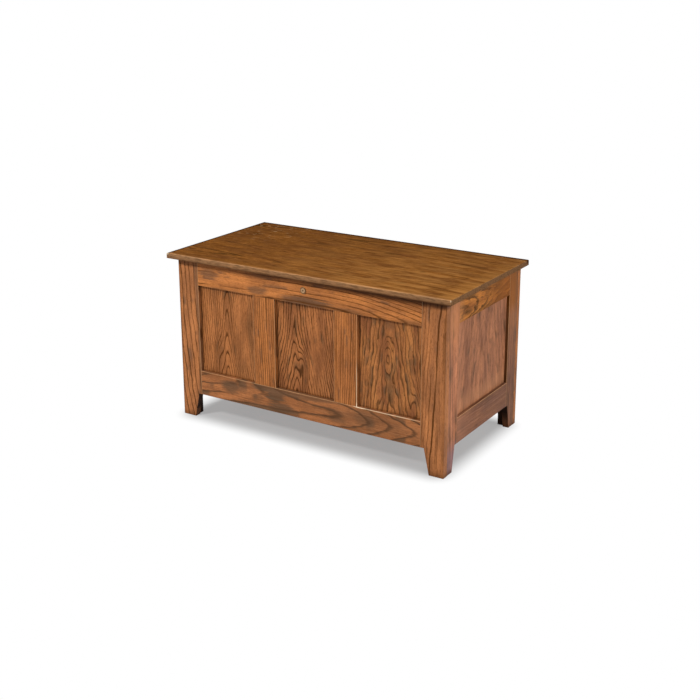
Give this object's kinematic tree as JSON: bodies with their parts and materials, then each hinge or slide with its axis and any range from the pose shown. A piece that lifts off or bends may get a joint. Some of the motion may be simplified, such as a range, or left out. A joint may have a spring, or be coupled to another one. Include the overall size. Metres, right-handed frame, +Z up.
{
  "type": "blanket chest",
  "caption": "Frame-and-panel oak blanket chest on tapered feet, with a lift-up lid on hinges that hold it and a keyed cam lock in the front rail.",
  "frame": {"origin": "centre of the chest's footprint, on the floor", "axes": "+X along the front to the right, +Y to the back, +Z up; the front faces -Y"},
  "size_m": [1.084, 0.5684, 0.5873],
  "materials": {
    "oak_frame": "medium brown stained oak, satin lacquer",
    "oak_panel": "medium brown stained oak, satin lacquer",
    "oak_lid": "medium brown stained oak, satin lacquer",
    "cedar_floor": "bare aromatic cedar veneer",
    "hinge_brass": "brass-plated steel",
    "lock_brass": "polished brass",
    "zinc_steel": "zinc-plated steel"
  },
  "bodies": {
    "carcase": {"back_cleat": "oak_frame", "back_frame_bottom_rail": "oak_frame", "back_frame_centre_mullion": "oak_frame", "back_frame_left_panel": "oak_panel", "back_frame_left_stile": "oak_frame", "back_frame_right_panel": "oak_panel", "back_frame_right_stile": "oak_frame", "back_frame_top_rail": "oak_frame", "cleat_screws": "zinc_steel", "floor_board": "cedar_floor", "front_cleat": "oak_frame", "front_frame_bottom_rail": "oak_frame", "front_frame_centre_panel": "oak_panel", "front_frame_left_mullion": "oak_frame", "front_frame_left_panel": "oak_panel", "front_frame_left_stile": "oak_frame", "front_frame_right_mullion": "oak_frame", "front_frame_right_panel": "oak_panel", "front_frame_right_stile": "oak_frame", "front_frame_top_rail": "oak_frame", "hinge_body_screws": "hinge_brass", "hinge_centre_body_leaf": "hinge_brass", "hinge_left_body_leaf": "hinge_brass", "hinge_pins": "hinge_brass", "hinge_right_body_leaf": "hinge_brass", "left_cleat": "oak_frame", "left_frame_back_stile": "oak_frame", "left_frame_bottom_rail": "oak_frame", "left_frame_front_stile": "oak_frame", "left_frame_side_panel": "oak_panel", "left_frame_top_rail": "oak_frame", "leg_block_back_left": "oak_frame", "leg_block_back_right": "oak_frame", "leg_block_front_left": "oak_frame", "leg_block_front_right": "oak_frame", "lock_housing": "lock_brass", "lock_nut": "zinc_steel", "right_cleat": "oak_frame", "right_frame_back_stile": "oak_frame", "right_frame_bottom_rail": "oak_frame", "right_frame_front_stile": "oak_frame", "right_frame_side_panel": "oak_panel", "right_frame_top_rail": "oak_frame"},
    "lid": {"batten_screws": "zinc_steel", "hinge_centre_lid_leaf": "hinge_brass", "hinge_left_lid_leaf": "hinge_brass", "hinge_lid_screws": "hinge_brass", "hinge_right_lid_leaf": "hinge_brass", "lid_batten_left": "oak_frame", "lid_batten_right": "oak_frame", "lid_board_1": "oak_lid", "lid_board_2": "oak_lid", "lid_board_3": "oak_lid", "lid_board_4": "oak_lid", "lock_strike": "zinc_steel", "strike_screws": "zinc_steel"},
    "lock_cylinder": {"lock_plug": "lock_brass", "lock_cam": "zinc_steel", "lock_cam_screw": "zinc_steel"}
  },
  "joints": [
    {"name": "lid_hinge", "type": "hinge", "parent": "carcase", "child": "lid", "pos_m": [0, 0.2807, 0.56815], "axis": [-1, 0, 0], "range_deg": [0, 100]},
    {"name": "lock_turn", "type": "hinge", "parent": "carcase", "child": "lock_cylinder", "pos_m": [0, -0.2592, 0.529], "axis": [0, 1, 0], "range_deg": [0, 90]}
  ]
}
